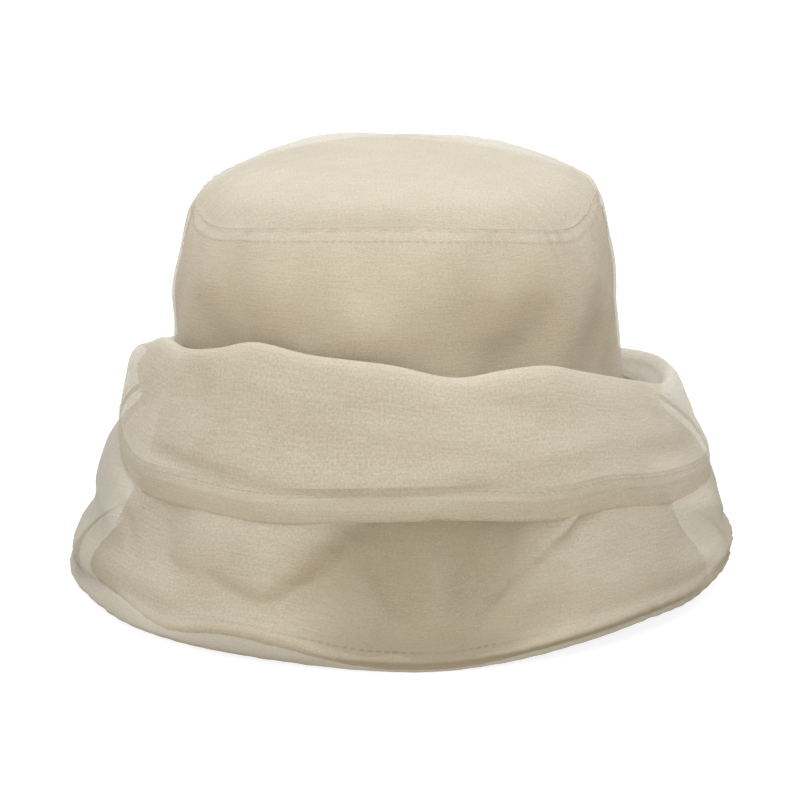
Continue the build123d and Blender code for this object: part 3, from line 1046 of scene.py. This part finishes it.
# Places along the veil, as shares of the way from the tip seam to the hem.
CROWN_PART_ENDS = 0.30
LOWER_WALL_FROM, LOWER_WALL_TO = 0.50, 0.745
BRIM_FOLD_AT = 0.542
PAST_THE_FOLD = 0.56
OUTER_LAYER_FROM = 0.765


def veil_grid():
    """Points of the gauze tube, rows from the tip seam to the hem's edge, and the path length at each row."""
    r, z = veil_line(VEIL_TURN)
    shift = np.zeros_like(r)
    shift[FOLD_STATION:] = through(z[FOLD_STATION:], WALL_SHIFT)
    grid, s = resample(place(VEIL_TURN, r, z, shift), VEIL_ROWS, FOLD_STATION)
    phi = np.tile(VEIL_TURN, (VEIL_ROWS, 1))
    t = np.tile((s / s[-1])[:, None], (1, VEIL_ROUND))
    height = grid[..., 2]
    crown = fall(t, CROWN_PART_ENDS, 0.02)
    outer = rise(t, PAST_THE_FOLD, 0.015)
    fine = 0.25 * ripple(phi, t, 31, 20, 60, 6.0) + 0.35 * ripple(phi, t, 32, 3, 14, 12.0)
    loose = 0.9 * ripple(phi, t, 33, 2, 10, 5.0)
    last_layer = rise(t, OUTER_LAYER_FROM, 0.01)
    wall_part = outer * np.clip((height - 6) / 6, 0, 1) * (1 - last_layer)
    relief = last_layer * folds(phi, height, CUFF_STROKES) + wall_part * folds(phi, height, WALL_STROKES)
    push = crown * (0.4 * fine) + outer * (relief + 0.6 * loose + 0.45 * fine)
    return grid + unit(grid * LEVEL) * push[..., None], s


# Folds in the top panel: a line of (x, y) points, a height and two widths.
TOP_STROKES = [
    ([(-4, 52), (18, 50), (36, 52), (56, 34)], 1.3, 4.0, 2.0),
    ([(10, 36), (34, 34), (52, 18)], 0.9, 5.0, 2.5),
    ([(-60, 4), (-40, -22), (-14, -36), (20, -40)], 0.9, 6.0, 4.0),
    ([(-44, 40), (-20, 56), (4, 60)], 0.9, 3.0, 4.0),
]


HEM_STITCH = (3.0, 2.2, 0.16)


def make_tube(grid, s):
    """The side panel; its cover changes where it hangs free, folds or lies on the hat, and it has painted shade on the
    lower wall and along the fold under the brim.
    """
    tube = sheet_piece("veil_gauze_tube", "veil_side_panel", VEIL_GAUZE, grid)
    phi, t = np.meshgrid(VEIL_TURN, s)
    lower_wall = rise(t, LOWER_WALL_FROM, 0.01) * fall(t, LOWER_WALL_TO, 0.01)
    middle = np.exp(-(np.abs(angle_from(phi, 4)) / 19.0) ** 4)
    aside = rise(np.abs(angle_from(phi, 6)), 71, 3.0)
    right = rise(angle_from(phi, 60), 0, 4.0) * fall(angle_from(phi, 150), 0, 4.0)
    fold = np.exp(-((t - BRIM_FOLD_AT) / 0.022) ** 4)
    # Painted shade: the lower wall is darkened in front under the cuff and at both sides, and so is the fold under the
    # brim's edge.
    paint(tube, "painted_shade", np.maximum(lower_wall * (0.92 * middle + 0.85 * aside), 0.85 * fold))
    on_hat = 0.16 + 0.09 * fall(t, CROWN_PART_ENDS, 0.02)
    front = lower_wall * (1 - aside) * (1 - fold)
    paint(tube, "opened", on_hat * (1 - lower_wall * right) + front * (0.09 + 0.14 * middle))
    return tube


def make_hem(hem):
    """The hem's folded casing, the elastic in it and its stitches, from the hem's rows of points."""
    rows = len(hem)
    n = normals_of(hem, True)
    puff = 0.06 + 0.34 * np.sin(np.linspace(0, np.pi, rows))[:, None, None]
    outer, inner = hem + n * puff, hem - n * puff
    loop = np.concatenate([outer, inner[::-1], outer[:1]])
    casing = sheet_piece("veil_hem_fold", "veil_hem_casing", VEIL_FOLDED, loop)
    along_hem = hem[rows // 3]
    tube_piece("hem_elastic_band", "veil_hem_elastic", VEIL_ELASTIC, along_hem, unit(hem[0] - hem[-1]), 0.1, 1.1)
    row = stitch_row(outer[1], normals_of(outer, True)[1], *HEM_STITCH)
    stitches("hem_stitches", "veil_hem_stitching", VEIL_THREAD, [row])
    return casing


def make_top_panel(seam):
    """The oval of gauze over the tip, from its middle out to the seam's line of points."""
    steps = np.concatenate([np.linspace(0.001, 0.85, 41), np.linspace(0.87, 1.0, 14)])
    p, rho = np.meshgrid(VEIL_TURN, steps)
    cap = tip(p, rho)
    away = np.clip(rho / 0.3, 0, 1)
    cap[..., 2] += (2.1 + 0.6 * ripple(p, rho * 2, 41, 1, 6, 1.0) * away
                    + 0.3 * ripple(p, rho * 3, 42, 6, 24, 1.5) * rho)
    for line, tall, left, right in TOP_STROKES:
        cap[..., 2] += fold_along(cap[..., 0], cap[..., 1], line, tall, left, right) * (1 - rho ** 8)
    scale = mix(1.0, (from_middle(seam) / from_middle(cap[-1]))[None, :], rho ** 2)
    cap[..., :2] *= scale[..., None]
    cap[..., 2] = mix(cap[..., 2], seam[None, :, 2], rho ** 24)
    panel = sheet_piece("veil_gauze_top", "veil_top_panel", VEIL_GAUZE, cap, flat=True)
    paint(panel, "opened", np.full(rho.shape, 0.22))
    # Painted shade: the gauze on the top darkens towards its front edge, where the crown rounds down to the seam.
    uneven = 1 + 0.5 * ripple(p, rho * 3, 43, 2, 9, 1.0)
    front_edge_shade = np.exp(-(((1 - rho) / 0.13) ** 2)) * np.clip(np.cos(p), 0, 1) ** 0.7
    paint(panel, "painted_shade", 0.34 * front_edge_shade * uneven)
    return panel


def make_veil():
    grid, s = veil_grid()
    hem_rows = int(np.sum(s > s[-1] - HEM_HEIGHT)) + 1
    last = 1 - hem_rows         # the tube shares the hem's first row
    tube = make_tube(grid[:last], s[:last] / s[-1])
    casing = make_hem(grid[-hem_rows:])
    top_panel = make_top_panel(grid[0])
    tube_piece("veil_seam_roll", "veil_top_seam", VEIL_FOLDED, grid[0], UP, 0.22, 0.22)
    back, back_normals = grid[:-hem_rows, 0], normals_of(grid, True)[:-hem_rows, 0]
    tube_piece("veil_back_seam_fold", "veil_back_seam", VEIL_FOLDED, back, back_normals, 0.9, 0.2, closed=False)


make_veil()
